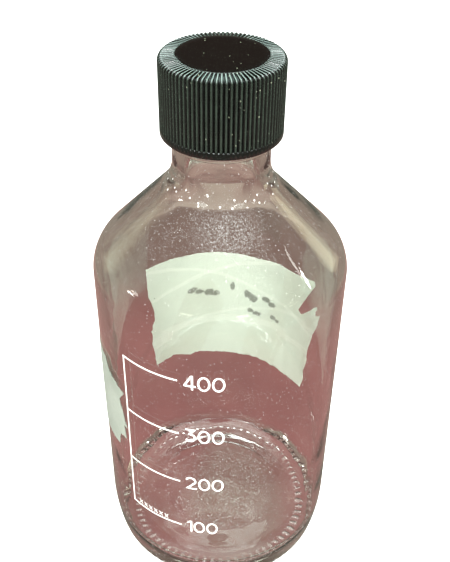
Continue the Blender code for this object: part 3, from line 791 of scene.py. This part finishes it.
def cap_material():
    """Black phenolic, duller and painted near-black in the grooves as shade, its rib crests rubbed
    grey-green and painted lighter as a sheen, with a little dust.
    """
    material, nodes = new_material("black_phenolic")
    place = nodes.place()
    crest, groove, worn = rib_masks(nodes, place)
    cloud = nodes.noise(place, 240, 4)
    specks = speckle(nodes, place, 1000, 0.24, 0.06)
    powder = nodes.math("MULTIPLY", nodes.ramp(nodes.noise(place, 2600, 2, 0.7), 0.62, 0.75), cloud)
    dust = nodes.math("MAXIMUM", nodes.math("MULTIPLY", specks, 0.4), nodes.math("MULTIPLY", powder, 0.1))
    # The crests' grey-green is partly rubbed wear and partly a painted sheen.
    rubbed_and_sheen = nodes.mix(cloud, (0.008, 0.012, 0.009), (0.026, 0.038, 0.028))
    # Near-black elsewhere: painted shade in the grooves.
    base = nodes.mix(crest, (0.002, 0.0022, 0.002), rubbed_and_sheen)
    # The ring's crests painted lighter still: rubbed wear and a painted sheen.
    base = nodes.mix(worn, base, (0.055, 0.075, 0.067))
    shader = nodes.add(
        "ShaderNodeBsdfPrincipled",
        {
            "Base Color": nodes.mix(dust, base, (0.42, 0.46, 0.32)),
            "Roughness": nodes.math("MULTIPLY_ADD", groove, 0.1, 0.1),
            "IOR": 1.6,
            "Normal": nodes.bump(nodes.noise(place, 1500, 3), 0.06, 0.0003),
        },
    )
    output(nodes, shader.outputs[0])
    return material


def enamel_material():
    """Fired cream enamel with a soft gloss, uneven thickness and pinholes."""
    material, nodes = new_material("cream_enamel")
    place = nodes.place()
    uneven = nodes.noise(place, 1200, 3)
    pinholes = nodes.ramp(nodes.cells(place, 2600).outputs["Distance"], 0.12, 0.05)
    color = nodes.mix(uneven, (0.8, 0.78, 0.73), (0.88, 0.86, 0.81))
    shader = nodes.add(
        "ShaderNodeBsdfPrincipled",
        {
            "Base Color": nodes.mix(nodes.math("MULTIPLY", pinholes, 0.35), color, (0.75, 0.7, 0.62)),
            "Roughness": nodes.math("MULTIPLY_ADD", uneven, 0.25, 0.15),
            "IOR": 1.5,
            "Normal": nodes.bump(uneven, 0.2, 0.0001),
        },
    )
    output(nodes, shader.outputs[0])
    return material


def paper_material(name, light, shade, strips, outside_shade):
    """Thin pale green paper with fibres, overlapping strips, soaked-through ink and an outside darkened by
    painted shade.
    """
    material, nodes = new_material(name)
    place = nodes.place()
    parts = nodes.add("ShaderNodeSeparateXYZ", {0: place})
    across, up = parts.outputs[0], parts.outputs[2]
    fibres = nodes.noise(nodes.place((700, 700, 1500)), 1, 4, 0.65)
    stains = nodes.noise(place, 45, 3)
    color = nodes.mix(fibres, shade, light)
    color = nodes.mix(nodes.ramp(stains, 0.5, 0.8), color, shade)
    for slope, height, half_width in strips:
        middle = nodes.math("MULTIPLY_ADD", across, slope, height * MM)
        away = nodes.math("ABSOLUTE", nodes.math("SUBTRACT", up, middle))
        strip = nodes.math("MULTIPLY", nodes.ramp(away, 1.5 * half_width * MM, half_width * MM), 0.45)
        color = nodes.mix(strip, color, (0.92, 0.98, 0.9))
    wobble = nodes.math("SUBTRACT", nodes.noise(place, 700, 3), 0.5)
    ink = 0.0
    for azimuth, height, half_width, half_height in INK_BLOTS:
        x = math.sin(math.radians(azimuth)) * BODY_RADIUS
        dx = nodes.math("DIVIDE", nodes.math("SUBTRACT", across, x), half_width * MM)
        dz = nodes.math("DIVIDE", nodes.math("SUBTRACT", up, height * MM), half_height * MM)
        reach = nodes.math("ADD", nodes.math("POWER", dx, 2), nodes.math("POWER", dz, 2))
        reach = nodes.math("ADD", reach, nodes.math("MULTIPLY", wobble, 2.5))
        ink = nodes.math("MAXIMUM", nodes.ramp(reach, 1.2, 0.3), ink)
    color = nodes.mix(nodes.math("MULTIPLY", ink, 0.78), color, (0.12, 0.13, 0.11))
    radius, _ = radius_and_height(nodes, place)
    outside = nodes.ramp(radius, BODY_RADIUS, BODY_RADIUS + 0.1 * MM)
    # The outside of the paper darkened as painted shade.
    color = nodes.mix(nodes.math("MULTIPLY", outside, outside_shade), color, (0.25, 0.26, 0.21))
    shader = nodes.add(
        "ShaderNodeBsdfPrincipled",
        {
            "Base Color": color,
            "Roughness": 0.85,
            "Normal": nodes.bump(fibres, 0.35, 0.0002),
        },
    )
    output(nodes, shader.outputs[0])
    return material


def plain_material(name, light, dark, scale, roughness):
    """A matt material mottled between two colours with a fine grain."""
    material, nodes = new_material(name)
    grain = nodes.noise(nodes.place(), scale, 5, 0.7)
    shader = nodes.add(
        "ShaderNodeBsdfPrincipled",
        {
            "Base Color": nodes.mix(nodes.ramp(grain, 0.3, 0.7), dark, light),
            "Roughness": roughness,
            "Normal": nodes.bump(grain, 0.3, 0.0002),
        },
    )
    output(nodes, shader.outputs[0])
    return material


# ---------------------------------------------------------------- stage


def seen_directly(nodes):
    """1 for what the camera sees and for fill light, 0 for what is seen in or through the object."""
    path = nodes.add("ShaderNodeLightPath")
    return nodes.math("MAXIMUM", path.outputs["Is Camera Ray"], path.outputs["Is Diffuse Ray"])


def bench_through_glass(nodes, place):
    """Dusty rose near the bottle, greyer behind, cream and brown far off, a dim painted caustic under the
    base.
    """
    spread = nodes.length(place)
    parts = nodes.add("ShaderNodeSeparateXYZ", {0: place})
    color = nodes.mix(nodes.ramp(nodes.noise(place, 28, 3), 0.3, 0.7), *BENCH_ROSE)
    color = nodes.mix(nodes.ramp(spread, 0.10, 0.17), color, BENCH_GREY)
    aside = nodes.ramp(nodes.math("ABSOLUTE", parts.outputs[0]), 0.05, 0.1)
    far = nodes.mix(aside, BENCH_CREAM, BENCH_BROWN)
    color = nodes.mix(nodes.ramp(spread, 0.215, 0.285), color, far)
    squares = []
    for part, middle, half in zip(parts.outputs, CAUSTIC_CENTRE, CAUSTIC_SIZE):
        offset = nodes.math("DIVIDE", nodes.math("SUBTRACT", part, middle), half)
        squares.append(nodes.math("POWER", offset, 2))
    reach = nodes.math("ADD", *squares)
    grain = nodes.ramp(nodes.noise(place, 900, 3, 0.7), 0.35, 0.65)
    grain = nodes.math("MULTIPLY_ADD", grain, 0.45, 0.4)
    caustic = nodes.math("MULTIPLY", nodes.ramp(reach, 1.3, 0.2), grain)
    return nodes.mix(caustic, color, BENCH_CAUSTIC)


def mirrored_bench(nodes, place):
    """A painted reflection of the bench: beige in front of and behind the bottle and far away, rose beside
    it.
    """
    parts = nodes.add("ShaderNodeSeparateXYZ", {0: place})
    aside = nodes.ramp(nodes.math("ABSOLUTE", parts.outputs[0]), 0.042, 0.08)
    aside = nodes.math("MULTIPLY", aside, nodes.ramp(nodes.length(place), 0.34, 0.26))
    return nodes.mix(aside, MIRRORED_BEIGE, MIRRORED_ROSE)


def floor_material():
    """A pale floor; seen through the glass or mirrored in it, it is a bench that glows with painted colour,
    unlit.
    """
    material, nodes = new_material("floor_surface")
    place = nodes.place()
    through = nodes.add("ShaderNodeLightPath").outputs["Is Transmission Ray"]
    color = nodes.mix(through, mirrored_bench(nodes, place), bench_through_glass(nodes, place))
    # The bench glows with painted light instead of being lit.
    glowing_bench = nodes.add("ShaderNodeEmission", {"Color": color, "Strength": 1.0})
    pale = nodes.add("ShaderNodeBsdfDiffuse", {"Color": (0.95, 0.95, 0.94, 1)})
    mixed = nodes.add(
        "ShaderNodeMixShader", {0: seen_directly(nodes), 1: glowing_bench.outputs[0], 2: pale.outputs[0]}
    )
    output(nodes, mixed.outputs[0])
    return material


def make_floor():
    work = bmesh.new()
    bmesh.ops.create_grid(work, x_segments=2, y_segments=2, size=3)
    bmesh.ops.translate(work, verts=work.verts, vec=(0, 0, -0.00005))
    mesh = bpy.data.meshes.new("floor")
    work.to_mesh(mesh)
    work.free()
    floor = bpy.data.objects.new("floor", mesh)
    bpy.context.scene.collection.objects.link(floor)
    mesh.materials.append(floor_material())


def toward(azimuth, elevation):
    azimuth, elevation = math.radians(azimuth), math.radians(elevation)
    level = math.cos(elevation)
    return Vector((level * math.sin(azimuth), -level * math.cos(azimuth), math.sin(elevation)))


def patch(nodes, way, azimuth, elevation, half_width, half_height, edge):
    """1 inside a rectangle of the room seen in this direction, 0 outside; its sizes are sines of angles."""
    ahead = toward(azimuth, elevation)
    across = Vector((0, 0, 1)).cross(ahead).normalized()
    masks = []
    for axis, half in ((across, half_width), (ahead.cross(across), half_height)):
        away = nodes.math("ABSOLUTE", nodes.dot(way, axis))
        masks.append(nodes.ramp(away, half + edge, half))
    facing = nodes.math("GREATER_THAN", nodes.dot(way, ahead), 0.0)
    return nodes.math("MULTIPLY", nodes.math("MULTIPLY", *masks), facing)


def make_world():
    """Pale to the eye and as fill light; mirrored, it is a dim room with cream walls and lamps."""
    world = bpy.data.worlds.new("room")
    bpy.context.scene.world = world
    world.use_nodes = True
    world.node_tree.nodes.clear()
    nodes = Nodes(world.node_tree)
    way = nodes.add("ShaderNodeTexCoord").outputs["Generated"]
    mottle = nodes.ramp(nodes.noise(way, 2.6, 2), 0.35, 0.65)
    room = nodes.mix(mottle, (0.1, 0.085, 0.07), (0.3, 0.27, 0.22))
    for *place_and_size, color in ROOM_WALLS + ROOM_LAMPS:
        room = nodes.mix(patch(nodes, way, *place_and_size), room, color)
    color = nodes.mix(seen_directly(nodes), room, (1.25, 1.26, 1.24))
    background = nodes.add("ShaderNodeBackground", {"Color": color, "Strength": 1.0})
    nodes.add("ShaderNodeOutputWorld", {"Surface": background.outputs[0]})


def add_light(name, place, target, size, power, color):
    data = bpy.data.lights.new(name, "AREA")
    data.shape = "RECTANGLE"
    data.size, data.size_y = size
    data.energy = power
    data.color = color
    light = bpy.data.objects.new(name, data)
    light.location = place
    light.rotation_euler = (Vector(target) - Vector(place)).to_track_quat("-Z", "Y").to_euler()
    bpy.context.scene.collection.objects.link(light)
    return light


def make_lights(cap):
    """The lights of the table; the fill is soft front light that nothing mirrors."""
    cap_only = bpy.data.collections.new("lit_by_cap_lights")
    cap_only.objects.link(cap)
    for name, place, target, size, power, color in LIGHTS:
        light = add_light(name, place, target, size, power, color)
        if name == "fill":
            light.visible_glossy = False
            light.visible_transmission = False
        if name.startswith("cap_"):
            light.light_linking.receiver_collection = cap_only


def make_camera():
    data = bpy.data.cameras.new("camera")
    data.sensor_width = SENSOR
    data.lens = SENSOR * FOCAL_SHARE
    data.clip_start = 0.01
    camera = bpy.data.objects.new("camera", data)
    tilt = Matrix.Rotation(math.pi / 2 - CAMERA_PITCH, 4, "X")
    roll = Matrix.Rotation(CAMERA_ROLL, 4, "Z")
    camera.matrix_world = Matrix.Translation(CAMERA_PLACE) @ tilt @ roll
    bpy.context.scene.collection.objects.link(camera)
    bpy.context.scene.camera = camera


# ---------------------------------------------------------------- assembly


def dress(piece, material, body, slot, *nodes):
    """Gives a piece its material, its body and the CAD nodes that it stands for."""
    piece.data.materials.clear()
    piece.data.materials.append(material)
    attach(piece, body)
    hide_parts(*nodes)


def print_nodes():
    printed = ("scale_lines", "numeral", "note_mark")
    return [name for name in sorted(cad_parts) if name.startswith(printed)]


def make_liner():
    """The facing film under the backing board; both lift with the cap."""
    film = plain_material("liner_film", (0.82, 0.82, 0.78), (0.7, 0.69, 0.64), 900, 0.35)
    board = plain_material("liner_board", (0.6, 0.52, 0.38), (0.45, 0.37, 0.26), 1500, 0.9)
    facing_size = (LINER_RADIUS, FACING_BOTTOM_Z, FACING_TOP_Z, FACING_EDGE, DENT_DEPTH)
    backing_size = (LINER_RADIUS, BACKING_BOTTOM_Z, BACKING_TOP_Z, BACKING_EDGE)
    facing = make_disc("facing_film", *facing_size)
    backing = make_disc("backing_board", *backing_size)
    dress(facing, film, "liner", "liner_film", "liner_facing")
    dress(backing, board, "liner", "liner_board", "liner_backing")


def main():
    make_camera()
    make_world()
    make_floor()
    dress(make_glass(), glass_material(), "bottle", "clear_glass", "bottle")
    cap = make_cap()
    make_lights(cap)
    dress(cap, cap_material(), "cap", "black_phenolic", "screw_cap")
    make_liner()
    enamel = enamel_material()
    for node in print_nodes():
        dress(make_print(node, "print_" + node), enamel, "bottle", "cream_enamel", node)
    for node, *look in PAPERS:
        paper = paper_material("paper_" + node, *look)
        dress(make_paper(node, "paper_" + node), paper, "bottle", "label_paper", node)
    bpy.context.scene.view_settings.view_transform = "Standard"


main()
